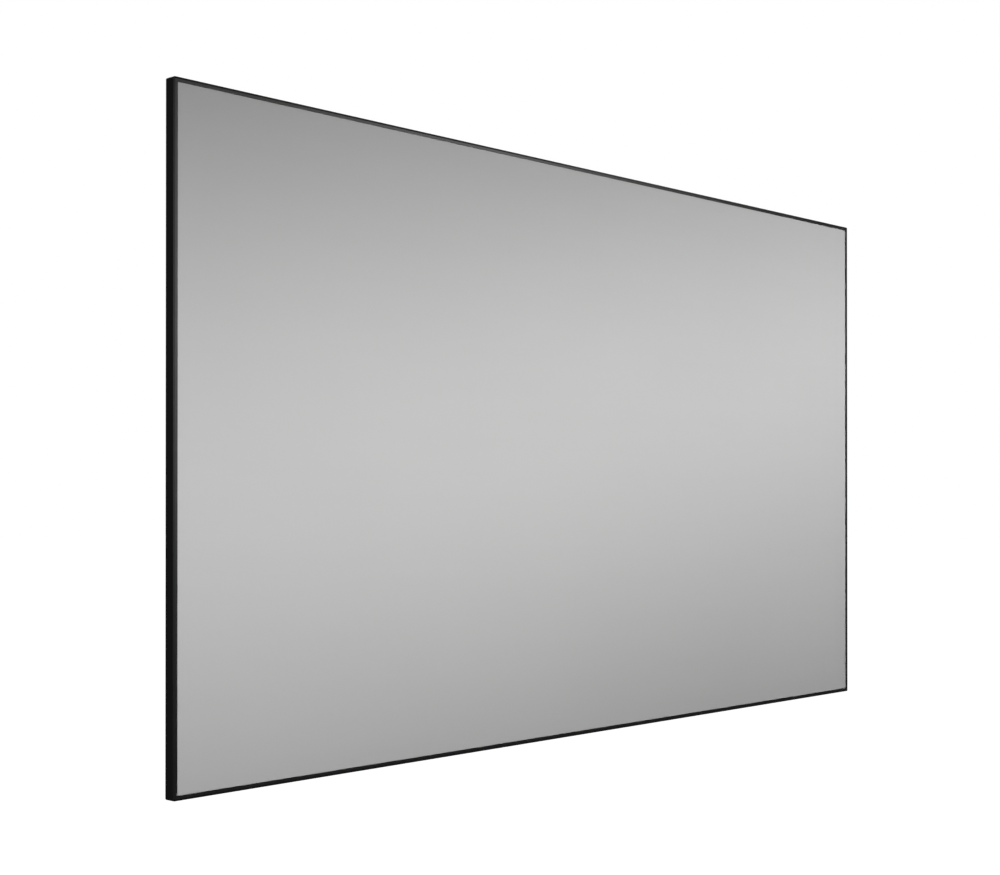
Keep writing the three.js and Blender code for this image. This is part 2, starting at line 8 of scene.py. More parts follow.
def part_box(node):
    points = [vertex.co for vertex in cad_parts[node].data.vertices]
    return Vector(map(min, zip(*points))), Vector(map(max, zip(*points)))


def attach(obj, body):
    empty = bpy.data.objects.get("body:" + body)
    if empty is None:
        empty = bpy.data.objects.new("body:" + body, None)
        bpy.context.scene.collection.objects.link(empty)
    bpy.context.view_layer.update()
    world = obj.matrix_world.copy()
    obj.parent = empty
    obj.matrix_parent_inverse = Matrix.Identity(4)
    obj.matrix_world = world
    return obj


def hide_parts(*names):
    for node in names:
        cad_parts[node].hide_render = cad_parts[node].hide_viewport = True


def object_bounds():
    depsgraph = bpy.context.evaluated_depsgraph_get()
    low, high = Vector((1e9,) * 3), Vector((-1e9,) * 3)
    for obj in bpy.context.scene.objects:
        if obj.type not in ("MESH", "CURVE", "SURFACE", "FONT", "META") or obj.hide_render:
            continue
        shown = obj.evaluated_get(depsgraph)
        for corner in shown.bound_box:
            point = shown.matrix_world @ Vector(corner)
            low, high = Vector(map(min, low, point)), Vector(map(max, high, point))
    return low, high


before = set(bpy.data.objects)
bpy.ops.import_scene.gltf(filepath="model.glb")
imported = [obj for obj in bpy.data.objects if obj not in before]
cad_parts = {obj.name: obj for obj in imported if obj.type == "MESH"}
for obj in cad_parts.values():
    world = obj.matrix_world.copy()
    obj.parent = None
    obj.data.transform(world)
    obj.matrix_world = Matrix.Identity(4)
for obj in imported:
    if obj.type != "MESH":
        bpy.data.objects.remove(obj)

cad_low, cad_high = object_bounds()
scene = bpy.context.scene

# Sizes of the screen's pieces, in metres. "In" is the distance inwards from the screen's
# outer edge, and "deep" is the distance back from the bezel's face.
MM = 0.001
CLEAR = 0.3 * MM
FILM = 0.5 * MM
BEND_RADIUS = 1 * MM
RAIL_DEPTH = 12 * MM
CORNER_NOTCH = 16 * MM
WELD_WIDTH = 2.9 * MM
HEM_WINDOW = 9 * MM
LAYER_GAP = 0.03 * MM
ROD_RADIUS = 1.5 * MM
ROD_CHAMFER = 0.4 * MM
WIRE = 1 * MM
SPRING_RADIUS = 2.2 * MM
SPRING_LENGTH = 19 * MM
SPRING_PITCH = 150 * MM
END_MARGIN = 60 * MM
HOOK_DROP = 4 * MM
SCREW_RADIUS = 2.4 * MM
SCREW_PITCH = 0.8 * MM
SCREW_CHAMFER = 0.4 * MM
SCREW_TIP_RADIUS = 1.2 * MM
THREAD_DEPTH = 0.42 * MM
SOCKET_RADIUS = 1.45 * MM
SOCKET_DEPTH = 2 * MM
OUTER_CORNER_RADIUS = 3.5 * MM

# Edge radii of extruded, cut and moulded pieces, and how near points are joined before them.
EXTRUDED_EDGE = 0.15 * MM
CUT_EDGE = 0.2 * MM
MOULDED_EDGE = 0.25 * MM
MERGE_DISTANCE = 0.002 * MM

# How many straight steps draw a round stretch, and how many sides a round piece has.
BEND_STEPS = 8
POCKET_STEPS = 24
CORNER_STEPS = 10
COIL_STEPS = 12
THREAD_STEPS = 8
WIRE_SIDES = 7
ROD_SIDES = 20
SCREW_SIDES = 24

# Places read from the frame
HALF_WIDTH = cad_high.x
HALF_HEIGHT = cad_high.z
FACE_Y = cad_low.y
rail_low, rail_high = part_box("top_right_rail")
RAIL_IN = HALF_HEIGHT - rail_high.z
RAIL_DEEP = rail_low.y - FACE_Y
LIP_END = HALF_HEIGHT - rail_low.z
_, rod_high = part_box("top_right_rod_and_springs")
ROD_IN = HALF_HEIGHT - rod_high.z + ROD_RADIUS + WIRE
ROD_DEEP = rod_high.y - FACE_Y - ROD_RADIUS - WIRE
FILM_BACK = RAIL_DEEP + RAIL_DEPTH + CLEAR

# The four sides, each drawn as the top side and turned about Y: its quarter turns, half its
# length, and its distance from the screen's centre.
SIDES = {
    "top": (0, HALF_WIDTH, HALF_HEIGHT),
    "right": (1, HALF_HEIGHT, HALF_WIDTH),
    "bottom": (2, HALF_WIDTH, HALF_HEIGHT),
    "left": (3, HALF_HEIGHT, HALF_WIDTH),
}


class Term:
    """A socket of a material. Maths written on it adds Math nodes."""

    def __init__(self, finish, node, socket):
        self.finish = finish
        self.node = node
        self.socket = socket

    def out(self, name):
        """Another output of the same node, by its name or number."""
        return Term(self.finish, self.node, self.node.outputs[name])

    def calc(self, operation, *values):
        """A Math node on terms or numbers."""
        return self.finish.add("ShaderNodeMath", {"operation": operation}, dict(enumerate(values)))

    def __add__(self, other):
        return self.calc("ADD", self, other)

    def __radd__(self, other):
        return self.calc("ADD", other, self)

    def __sub__(self, other):
        return self.calc("SUBTRACT", self, other)

    def __rsub__(self, other):
        return self.calc("SUBTRACT", other, self)

    def __mul__(self, other):
        return self.calc("MULTIPLY", self, other)

    def __rmul__(self, other):
        return self.calc("MULTIPLY", other, self)


# The colour sockets of a Mix node, by number, because several of its sockets share a name.
MIX_FACTOR, MIX_FIRST, MIX_SECOND, MIX_RESULT = 0, 6, 7, 2


class Finish:
    """A material that is built up from nodes."""

    def __init__(self, name):
        self.material = bpy.data.materials.new(name)
        self.material.use_nodes = True
        self.tree = self.material.node_tree
        self.tree.nodes.clear()

    def add(self, kind, settings, sockets):
        """Makes a node: its settings first, then the values or links of its sockets."""
        node = self.tree.nodes.new(kind)
        for name, value in settings.items():
            setattr(node, name, value)
        for name, value in sockets.items():
            if isinstance(value, Term):
                self.tree.links.new(value.socket, node.inputs[name])
            else:
                node.inputs[name].default_value = value
        return Term(self, node, next((s for s in node.outputs if s.enabled), None))

    def place(self, scale=(1, 1, 1)):
        """A piece's own coordinates in metres, times a scale for each axis."""
        own = self.add("ShaderNodeTexCoord", {}, {}).out("Object")
        return self.add("ShaderNodeMapping", {"vector_type": "POINT"}, {"Vector": own, "Scale": scale})

    def noise(self, place, scale, detail=2, rough=0.5):
        """A noise between 0 and 1. At a scale of 3 it has about three lumps to a metre."""
        sockets = {"Vector": place, "Scale": scale, "Detail": detail, "Roughness": rough}
        return self.add("ShaderNodeTexNoise", {}, sockets)

    def mix(self, factor, first, second):
        """A colour between two, by a factor."""
        sockets = {MIX_FACTOR: factor, MIX_FIRST: first, MIX_SECOND: second}
        return self.add("ShaderNodeMix", {"data_type": "RGBA"}, sockets).out(MIX_RESULT)

    def bump(self, height, strength, distance):
        """A normal from a height between 0 and 1, where 1 stands as high as the distance."""
        sockets = {"Height": height, "Strength": strength, "Distance": distance}
        return self.add("ShaderNodeBump", {}, sockets)

    def surface(self, sockets):
        """Ends the material with a Principled shader."""
        shader = self.add("ShaderNodeBsdfPrincipled", {}, sockets)
        self.add("ShaderNodeOutputMaterial", {}, {"Surface": shader})
        return self.material


def grey(level):
    """An opaque neutral colour."""
    return (level, level, level, 1)


def film_coat():
    """The picture side: a matt grey coating with a fine grain and faint drawn streaks."""
    finish = Finish("film grey coating")
    place = finish.place()
    streaks = finish.noise(finish.place((0.6, 1, 7)), 3, detail=3)
    blotches = finish.noise(place, 2.2, detail=1)
    grain = finish.noise(place, 1600)
    tone = streaks * 0.5 + blotches * 0.5
    return finish.surface(
        {
            "Base Color": finish.mix(tone, grey(0.434), grey(0.46)),
            "Roughness": 0.6 + grain * 0.08,
            "Specular IOR Level": 0.22,
            "Normal": finish.bump(grain, 0.12, 0.05 * MM),
        }
    )


def film_back():
    """The light-blocking back of the film: charcoal with a linen emboss."""
    finish = Finish("film charcoal back")
    place = finish.place()
    across, up = [
        finish.add(
            "ShaderNodeTexWave",
            {"bands_direction": axis, "wave_profile": "SIN"},
            {"Vector": place, "Scale": 210, "Distortion": 1.2, "Detail": 2},
        ).out("Fac")
        for axis in "XZ"
    ]
    weave = across * 0.5 + up * 0.5
    weft, warp = [finish.noise(finish.place(scale), 30) for scale in ((1, 1, 14), (14, 1, 1))]
    threads = weft * 0.5 + warp * 0.5
    cloud = finish.noise(place, 3.5, detail=3)
    tone = cloud * 0.35 + weave * 0.2 + threads * 0.45
    return finish.surface(
        {
            "Base Color": finish.mix(tone, grey(0.04), grey(0.092)),
            "Roughness": 0.62 + cloud * 0.12 + threads * 0.1,
            "Specular IOR Level": 0.35,
            "Normal": finish.bump(weave * 0.6 + threads * 0.4, 0.7, 0.12 * MM),
        }
    )


def hem_vinyl():
    """The folded border of the film: black vinyl, pressed with a fine leather grain."""
    finish = Finish("hem black vinyl")
    place = finish.place()
    to_edges = {"feature": "DISTANCE_TO_EDGE"}
    cells = finish.add("ShaderNodeTexVoronoi", to_edges, {"Vector": place, "Scale": 900})
    soft = finish.noise(place, 40, detail=3)
    return finish.surface(
        {
            "Base Color": finish.mix(soft, grey(0.016), grey(0.024)),
            "Roughness": 0.42 + soft * 0.16,
            "Normal": finish.bump(cells, 0.25, 0.05 * MM),
        }
    )


def anodised(name, along, level, rough):
    """Black anodised aluminium with faint die lines along the extrusion."""
    finish = Finish(name)
    drawn = (1.2, 240, 240) if along == "X" else (240, 240, 1.2)
    lines = finish.noise(finish.place(drawn), 6, detail=3, rough=0.6)
    cloud = finish.noise(finish.place(), 9, detail=3)
    tone = lines * 0.4 + cloud * 0.6
    return finish.surface(
        {
            "Base Color": finish.mix(tone, grey(level * 0.85), grey(level * 1.2)),
            "Roughness": rough + (lines + cloud - 0.8) * 0.05,
            "IOR": 1.5,
            "Normal": finish.bump(lines, 0.1, 0.03 * MM),
        }
    )


def drawn_steel(name, level, rough):
    """Bright drawn wire and rod, a little uneven in gloss."""
    finish = Finish(name)
    place = finish.place()
    fine = finish.noise(place, 700)
    cloud = finish.noise(place, 60, detail=3)
    return finish.surface(
        {
            "Base Color": finish.mix(cloud, grey(level * 0.88), grey(level * 1.08)),
            "Metallic": 1.0,
            "Roughness": rough + cloud * 0.12,
            "Normal": finish.bump(fine, 0.1, 0.02 * MM),
        }
    )


def zinc_plate():
    """Bright passivated zinc on stamped steel: cloudy, with a faint straw and blue cast."""
    finish = Finish("zinc plated steel")
    place = finish.place()
    cloud = finish.noise(place, 55, detail=4, rough=0.6)
    cast = finish.noise(place, 14)
    spangle = finish.add("ShaderNodeTexVoronoi", {"feature": "F1"}, {"Vector": place, "Scale": 420})
    straw = finish.mix(cloud, (0.46, 0.45, 0.41, 1), (0.62, 0.61, 0.58, 1))
    blue = finish.mix(cloud, (0.42, 0.45, 0.48, 1), (0.58, 0.61, 0.64, 1))
    return finish.surface(
        {
            "Base Color": finish.mix(cast, straw, blue),
            "Metallic": 1.0,
            "Roughness": 0.3 + cloud * 0.18 + spangle * 0.05,
            "Normal": finish.bump(cloud, 0.12, 0.05 * MM),
        }
    )


def black_oxide():
    """Blackened screw steel with an oily sheen."""
    finish = Finish("black oxide steel")
    cloud = finish.noise(finish.place(), 500, detail=3)
    return finish.surface(
        {
            "Base Color": finish.mix(cloud, grey(0.03), grey(0.055)),
            "Metallic": 0.85,
            "Roughness": 0.3 + cloud * 0.15,
            "Normal": finish.bump(cloud, 0.1, 0.02 * MM),
        }
    )


def clip_plastic():
    """Moulded black nylon with a spark-eroded texture."""
    finish = Finish("moulded black nylon")
    place = finish.place()
    eroded = finish.noise(place, 1500, detail=3, rough=0.65)
    cloud = finish.noise(place, 80)
    return finish.surface(
        {
            "Base Color": finish.mix(cloud, grey(0.012), grey(0.02)),
            "Roughness": 0.5 + eroded * 0.15,
            "Normal": finish.bump(eroded, 0.4, 0.04 * MM),
        }
    )


FILM_COAT = film_coat()
FILM_BACK_SIDE = film_back()
HEM_VINYL = hem_vinyl()
BEZEL_ALONG = {axis: anodised(f"bezel black {axis}", axis, 0.005, 0.28) for axis in "XZ"}
RAIL_ALONG = {axis: anodised(f"rail black {axis}", axis, 0.016, 0.42) for axis in "XZ"}
SPRING_STEEL = drawn_steel("spring steel", 0.6, 0.2)
ROD_STEEL = drawn_steel("rod steel", 0.5, 0.26)
ZINC = zinc_plate()
SCREW_BLACK = black_oxide()
CLIP_NYLON = clip_plastic()


def add_piece(name, mesh, node):
    """A piece of the screen that stands for a CAD node."""
    piece = bpy.data.objects.new(name, mesh)
    scene.collection.objects.link(piece)
    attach(piece, "root")
    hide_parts(node)
    return piece


def make_piece(name, points, faces, smooth, materials, node, face_materials=None):
    """A piece from its points and faces, with a mark on each face that shades as round."""
    mesh = bpy.data.meshes.new(name)
    mesh.from_pydata([tuple(p) for p in points], [], faces)
    for material in materials:
        mesh.materials.append(material)
    if face_materials:
        mesh.polygons.foreach_set("material_index", face_materials)
    mesh.polygons.foreach_set("use_smooth", smooth)
    mesh.update()
    return add_piece(name, mesh, node)


def copy_node(name, suffix, material):
    """A piece with a CAD node's own mesh, to be reshaped or reshaded in its place."""
    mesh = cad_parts[name].data.copy()
    mesh.materials.clear()
    mesh.materials.append(material)
    return add_piece(f"{name}_{suffix}", mesh, name)


def side_matrix(side):
    """Turns what is drawn on the top side, at (along, deep, -in), into its real place."""
    quarter_turns, _, half_across = SIDES[side]
    turn = Matrix.Rotation(quarter_turns * math.pi / 2, 4, "Y")
    return turn @ Matrix.Translation((0, FACE_Y, half_across))


def arc(centre_in, centre_deep, radius, start, end, steps):
    """Points on an arc of a section, from one angle in degrees to another."""
    angles = [math.radians(start + (end - start) * i / steps) for i in range(steps + 1)]
    return [(centre_in + radius * math.cos(a), centre_deep + radius * math.sin(a)) for a in angles]


def spring_places(half_length):
    """Where the springs of a half side stand, measured from its middle."""
    count = math.ceil((half_length - END_MARGIN - SPRING_PITCH / 2) / SPRING_PITCH)
    return [SPRING_PITCH * (i + 0.5) for i in range(count)]


def flap_profile():
    """The film's middle line across a side, from the front's edge round the rail and through
    the hem, with a mark at each point: whether the stretch after it is cut at the springs."""
    middle = BEND_RADIUS + CLEAR + FILM / 2
    bend_in = RAIL_IN + BEND_RADIUS
    rail_back = RAIL_DEEP + RAIL_DEPTH
    loop = ROD_RADIUS + CLEAR + FILM / 2
    window_in = ROD_IN - ROD_RADIUS - CLEAR - FILM - WIRE
    flap_deep = FILM_BACK + FILM / 2
    tail_deep = flap_deep + FILM + LAYER_GAP
    tail_end = ROD_IN - ROD_RADIUS - CLEAR - WELD_WIDTH
    last = 180 - math.degrees(math.asin((tail_deep - ROD_DEEP) / loop))
    fold = arc(bend_in, RAIL_DEEP + BEND_RADIUS, middle, -90, -180, BEND_STEPS)
    fold += arc(bend_in, rail_back - BEND_RADIUS, middle, 180, 90, BEND_STEPS)
    pocket = [(window_in, flap_deep), *arc(ROD_IN, ROD_DEEP, loop, -90, last, POCKET_STEPS)]
    tail = [(window_in, tail_deep), (tail_end, tail_deep)]
    marks = [False] * len(fold) + [True] * len(pocket) + [False] * len(tail)
    return fold + pocket + tail, marks


def build_film():
    """One sheet: the flat front, four folded flaps, and a hem with a window at each spring."""
    profile, marks = flap_profile()
    rows = len(profile)
    # The coating ends half-way round the first bend. Each number is the outer skin's material,
    # and the next one is the inner skin's.
    coat_rows = BEND_STEPS // 2
    materials = [FILM_COAT, FILM_BACK_SIDE, HEM_VINYL, HEM_VINYL]
    coated, vinyl = 0, 2
    # The flap is flat between its second bend and the hem.
    flat_row = marks.index(True) - 1
    points, faces, face_materials, smooth, rim = [], [], [], [], []
    for side, (_, half_length, _) in SIDES.items():
        place = side_matrix(side)
        reach = half_length - CORNER_NOTCH
        places = spring_places(half_length)
        edges = [x + hand * HEM_WINDOW / 2 for x in places for hand in (-1, 1)]
        stops = sorted([-reach, reach, *edges, *(-x for x in edges)])
        first = len(points)
        corner = half_length - RAIL_IN - BEND_RADIUS
        points.append(place @ Vector((-corner, profile[0][1], -profile[0][0])))
        for x in stops:
            points += [place @ Vector((x, deep, -inwards)) for inwards, deep in profile]
        rim += [first, *(first + 1 + rows * k for k in range(len(stops)))]
        for k in range(len(stops) - 1):
            in_window = k % 2 == 1
            for row in range(rows - 1):
                if in_window and marks[row]:
                    continue
                a = first + 1 + rows * k + row
                faces.append((a, a + rows, a + 1 + rows, a + 1))
                face_materials.append(coated if row < coat_rows else vinyl)
                smooth.append(row != flat_row)
    faces.append(tuple(reversed(rim)))
    face_materials.append(coated)
    smooth.append(False)
    film = make_piece(
        "projection_film", points, faces, smooth, materials, "screen_film", face_materials
    )
    thicken = film.modifiers.new("film thickness", "SOLIDIFY")
    thicken.thickness = FILM
    thicken.offset = 0
    thicken.material_offset = 1
    thicken.material_offset_rim = 1
    return film


def tube_faces(rings, sides):
    """The faces round a tube of rings of points, one ring after the other, with its two ends."""
    faces = []
    for start in range(0, (rings - 1) * sides, sides):
        for k in range(sides):
            a, b = start + k, start + (k + 1) % sides
            faces.append((a, b, b + sides, a + sides))
    last = (rings - 1) * sides
    return [*faces, tuple(reversed(range(sides))), tuple(range(last, last + sides))]


def sweep(path, radius, sides):
    """A closed round tube along a path, as its points and faces."""
    tangents = [(b - a).normalized() for a, b in pairwise(path)]
    tangents.append(tangents[-1])
    across = tangents[0].orthogonal().normalized()
    points = []
    for centre, tangent in zip(path, tangents):
        across = (across - tangent * across.dot(tangent)).normalized()
        other = tangent.cross(across)
        for k in range(sides):
            angle = 2 * math.pi * k / sides
            points.append(centre + radius * (math.cos(angle) * across + math.sin(angle) * other))
    return points, tube_faces(len(path), sides)


def smoothed(points, steps):
    """A smooth curve through points, in steps from each one to the next."""
    ends = [2 * points[0] - points[1], *points, 2 * points[-1] - points[-2]]
    curve = []
    for a, b, c, d in zip(ends, ends[1:], ends[2:], ends[3:]):
        slope, bow, twist = c - a, 2 * a - 5 * b + 4 * c - d, 3 * b - a - 3 * c + d
        for i in range(steps):
            t = i / steps
            curve.append(0.5 * (2 * b + slope * t + bow * t**2 + twist * t**3))
    return [*curve, points[-1]]


def spring_path():
    """The wire's middle line: an eye round the rod, a close-wound coil, and a hook that drops
    behind the rail's lip. Points are (along, deep, -in)."""
    eye = ROD_RADIUS + WIRE / 2
    eye_start, eye_end, eye_step = 50, 330, 20
    coil_radius = SPRING_RADIUS - WIRE / 2
    coil_start = (ROD_IN + LIP_END - SPRING_LENGTH) / 2
    turns = round((SPRING_LENGTH - WIRE) / WIRE)
    hook_in = LIP_END + CLEAR + WIRE / 2
    ring = [
        Vector((0, ROD_DEEP + eye * math.sin(a), -ROD_IN - eye * math.cos(a)))
        for a in (math.radians(d) for d in range(eye_start, eye_end + 1, eye_step))
    ]
    # The wire leaves the eye close to the rod and turns into the coil.
    neck = [Vector((0, ROD_DEEP - 0.3 * eye, -ROD_IN - 1.15 * eye))]
    coil = []
    for i in range(turns * COIL_STEPS + 1):
        angle = 2 * math.pi * i / COIL_STEPS
        inwards = coil_start + WIRE / 2 + WIRE * i / COIL_STEPS
        deep = ROD_DEEP - coil_radius * math.cos(angle)
        coil.append(Vector((coil_radius * math.sin(angle), deep, -inwards)))
    coil_end = -coil[-1].z
    # From the coil's last turn the wire comes to its middle, runs past the lip and bends down.
    run = [
        Vector((0, ROD_DEEP - 0.4 * coil_radius, -coil_end - 0.8 * WIRE)),
        Vector((0, ROD_DEEP, -coil_end - 1.8 * WIRE)),
        Vector((0, ROD_DEEP, -hook_in + 1.2 * WIRE)),
        Vector((0, ROD_DEEP - 0.3 * WIRE, -hook_in + 0.3 * WIRE)),
        Vector((0, ROD_DEEP - 1.2 * WIRE, -hook_in)),
        Vector((0, ROD_DEEP - WIRE / 2 - HOOK_DROP, -hook_in)),
    ]
    return smoothed(ring + neck + coil[:1], 2)[:-1] + coil + smoothed(coil[-1:] + run, 3)[1:]


def rod_shape(start, end):
    """A round rod with chamfered ends, as its points and faces."""
    stations = [
        (start, ROD_RADIUS - ROD_CHAMFER),
        (start + ROD_CHAMFER, ROD_RADIUS),
        (end - ROD_CHAMFER, ROD_RADIUS),
        (end, ROD_RADIUS - ROD_CHAMFER),
    ]
    points = []
    for x, radius in stations:
        for k in range(ROD_SIDES):
            angle = 2 * math.pi * k / ROD_SIDES
            deep = ROD_DEEP + radius * math.sin(angle)
            points.append(Vector((x, deep, -ROD_IN - radius * math.cos(angle))))
    return points, tube_faces(len(stations), ROD_SIDES)


def springs_shape(places):
    """Springs at some places along a side, as their points and faces."""
    wire_points, wire_faces = sweep(spring_path(), WIRE / 2, WIRE_SIDES)
    points, faces = [], []
    for x in places:
        first = len(points)
        points += [point + Vector((x, 0, 0)) for point in wire_points]
        faces += [tuple(first + i for i in face) for face in wire_faces]
    return points, faces


def build_rods_and_springs():
    """A rod piece and a springs piece for each run, which together stand for its CAD node."""
    for side, (_, half_length, _) in SIDES.items():
        half = spring_places(half_length)
        mirrored = [-x for x in half]
        # The bottom side is the top one turned round, so its right half comes first.
        hands = {"top": ("left", "right"), "bottom": ("right", "left")}.get(side)
        if hands:
            runs = [(f"{side}_{hands[0]}", -1, 0, mirrored), (f"{side}_{hands[1]}", 0, 1, half)]
        else:
            runs = [(side, -1, 1, mirrored + half)]
        place = side_matrix(side)
        end = half_length - CORNER_NOTCH - CLEAR
        for name, low, high, places in runs:
            start = low * end if low else CLEAR / 2
            stop = high * end if high else -CLEAR / 2
            shapes = {
                "tension_rod": (ROD_STEEL, rod_shape(start, stop)),
                "springs": (SPRING_STEEL, springs_shape(places)),
            }
            for suffix, (material, (points, faces)) in shapes.items():
                make_piece(
                    f"{name}_{suffix}",
                    [place @ point for point in points],
                    faces,
                    [len(face) == 4 for face in faces],
                    [material],
                    f"{name}_rod_and_springs",
                )


def screw_shape(length):
    """A threaded grub screw that points to -Y from its socket end at y = 0."""
    sides = SCREW_SIDES
    root = SCREW_RADIUS - THREAD_DEPTH
    threaded = length - 2 * SCREW_CHAMFER
    steps = round(threaded / SCREW_PITCH * THREAD_STEPS)
    # Rings without a radius of their own are threaded.
    rings = [(SCREW_CHAMFER + threaded * i / steps, None) for i in range(steps + 1)]
    rings = [(0, SCREW_RADIUS - SCREW_CHAMFER), *rings, (length, SCREW_TIP_RADIUS)]
    points = []
    for depth, radius in rings:
        for k in range(sides):
            phase = (depth / SCREW_PITCH - k / sides) % 1
            thread = root + THREAD_DEPTH * (1 - abs(2 * phase - 1))
            r = thread if radius is None else radius
            angle = 2 * math.pi * k / sides
            points.append((r * math.cos(angle), -depth, r * math.sin(angle)))
    mouth = len(points)
    bottom = mouth + sides
    for depth in (0, SOCKET_DEPTH):
        for k in range(sides):
            angle = 2 * math.pi * k / sides
            sector = (angle + math.pi / 6) % (math.pi / 3) - math.pi / 6
            flat = SOCKET_RADIUS * math.cos(math.pi / 6) / math.cos(sector)
            points.append((flat * math.cos(angle), -depth, flat * math.sin(angle)))
    *shank, _, tip = tube_faces(len(rings), sides)
    faces = [*shank, tip]
    for k in range(sides):
        n = (k + 1) % sides
        faces.append((k, mouth + k, mouth + n, n))
        faces.append((mouth + k, bottom + k, bottom + n, mouth + n))
    faces.append(tuple(reversed(range(bottom, bottom + sides))))
    return points, faces


def build_screws():
    """Threaded screws in place of the plain ones."""
    for name in sorted(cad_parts):
        if "_screw_" not in name:
            continue
        low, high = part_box(name)
        middle = (low + high) / 2
        points, faces = screw_shape(high.y - low.y)
        socket_end = Vector((middle.x, high.y, middle.z))
        make_piece(
            name.replace("_screw_", "_grub_screw_"),
            [socket_end + Vector(p) for p in points],
            faces,
            [False] * len(faces),
            [SCREW_BLACK],
            name,
        )


def merge_points(thing):
    """Joins the points that a CAD mesh has more than once along its edges."""
    weld = thing.modifiers.new("one skin", "WELD")
    weld.merge_threshold = MERGE_DISTANCE


def soften(thing, width, sharp_angle=28):
    """Rounds sharp edges a little, as a die or a deburring wheel leaves them. Edges below the
    sharp angle, in degrees, are left as they are."""
    merge_points(thing)
    bevel = thing.modifiers.new("edge radius", "BEVEL")
    bevel.width = width
    bevel.segments = 2
    bevel.limit_method = "ANGLE"
    bevel.angle_limit = math.radians(sharp_angle)
    bevel.harden_normals = True


def long_axis(name):
    """The way that a length of bezel or rail runs."""
    return "Z" if name.split("_")[0] in ("left", "right") else "X"


def corner_cutter():
    """Four prisms, each a square with a quarter round taken out, that round the outer corners."""
    radius, past = OUTER_CORNER_RADIUS, 2 * MM
    turned = [math.pi / 2 * i / CORNER_STEPS for i in range(CORNER_STEPS + 1)]
    outline = [(radius * math.cos(a) - radius, radius * math.sin(a) - radius) for a in turned]
    outline += [(-radius, past), (past, past), (past, -radius)]
    sides = len(outline)
    points, faces = [], []
    for hand_x, hand_z in ((1, 1), (-1, 1), (-1, -1), (1, -1)):
        first = len(points)
        for y in (cad_low.y - past, cad_high.y + past):
            points += [(hand_x * (HALF_WIDTH + x), y, hand_z * (HALF_HEIGHT + z)) for x, z in outline]
        prism = [tuple(first + i for i in face) for face in tube_faces(2, sides)]
        # Mirroring in one axis turns the faces inside out, so they are turned back.
        faces += prism if hand_x == hand_z else [tuple(reversed(face)) for face in prism]
    mesh = bpy.data.meshes.new("corner cutter")
    mesh.from_pydata(points, [], faces)
    cutter = bpy.data.objects.new("corner cutter", mesh)
    scene.collection.objects.link(cutter)
    return cutter


def build_bezels():
    """The bezel's six lengths with the screen's outer corners rounded, in place of square ones."""
    cutter = corner_cutter()
    for name in sorted(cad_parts):
        if not name.endswith("_bezel"):
            continue
        strip = copy_node(name, "strip", BEZEL_ALONG[long_axis(name)])
        merge_points(strip)
        cut = strip.modifiers.new("rounded corners", "BOOLEAN")
        cut.operation = "DIFFERENCE"
        cut.solver = "EXACT"
        cut.object = cutter
        solid = strip.evaluated_get(bpy.context.evaluated_depsgraph_get())
        rounded = bpy.data.meshes.new_from_object(solid)
        strip.modifiers.clear()
        strip.data = rounded
        soften(strip, EXTRUDED_EDGE)
    bpy.data.objects.remove(cutter)


def build_bent_parts():
    """The wall brackets and the centre tube, whose bends and rounded edges shade as round."""
    for name in sorted(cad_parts):
        if name.endswith("_wall_bracket"):
            piece = copy_node(name, "plate", ZINC)
        elif name == "centre_bar":
            piece = copy_node(name, "tube", RAIL_ALONG["Z"])
        else:
            continue
        piece.data.polygons.foreach_set("use_smooth", [True] * len(piece.data.polygons))
        soften(piece, CUT_EDGE, sharp_angle=50)
        evened = piece.modifiers.new("flats stay flat", "WEIGHTED_NORMAL")
        evened.mode = "FACE_AREA_WITH_ANGLE"


def finish_nodes():
    """Materials and edge radii for the CAD nodes that stay."""
    for name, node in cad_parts.items():
        if name.endswith("_rail"):
            material, width = RAIL_ALONG[long_axis(name)], EXTRUDED_EDGE
        elif name.endswith("_bar_clip"):
            material, width = CLIP_NYLON, MOULDED_EDGE
        elif name.endswith(("_plate", "_splice_bar")):
            material, width = ZINC, CUT_EDGE
        else:
            continue
        node.material_slots[0].material = material
        soften(node, width)


# Camera, at the photograph's place: almost level, with its picture shifted up. The focal
# length is in the photograph's pixels, and so is the horizon.
PHOTO_WIDTH = 1000
PHOTO_HEIGHT = 875
FOCAL_PIXELS = 1658.5
HORIZON_PIXEL = 495.85
VIEW_ANGLE = math.radians(47.234)
VIEW_RISE = math.radians(0.268)
CAMERA_PLACE = (-2.847, -2.386, -0.1)
SENSOR_MM = 36


def build_camera():
    """The camera that sees the screen as the photograph does."""
    data = bpy.data.cameras.new("photo camera")
    data.sensor_width = SENSOR_MM
    data.lens = FOCAL_PIXELS / PHOTO_WIDTH * SENSOR_MM
    rise_pixels = FOCAL_PIXELS * math.tan(VIEW_RISE)
    data.shift_y = (HORIZON_PIXEL - PHOTO_HEIGHT / 2 - rise_pixels) / PHOTO_WIDTH
    data.clip_start = 0.01
    data.clip_end = 500
    camera = bpy.data.objects.new("photo camera", data)
    camera.location = CAMERA_PLACE
    camera.rotation_euler = (math.pi / 2 + VIEW_RISE, 0, -VIEW_ANGLE)
    scene.collection.objects.link(camera)
    scene.camera = camera


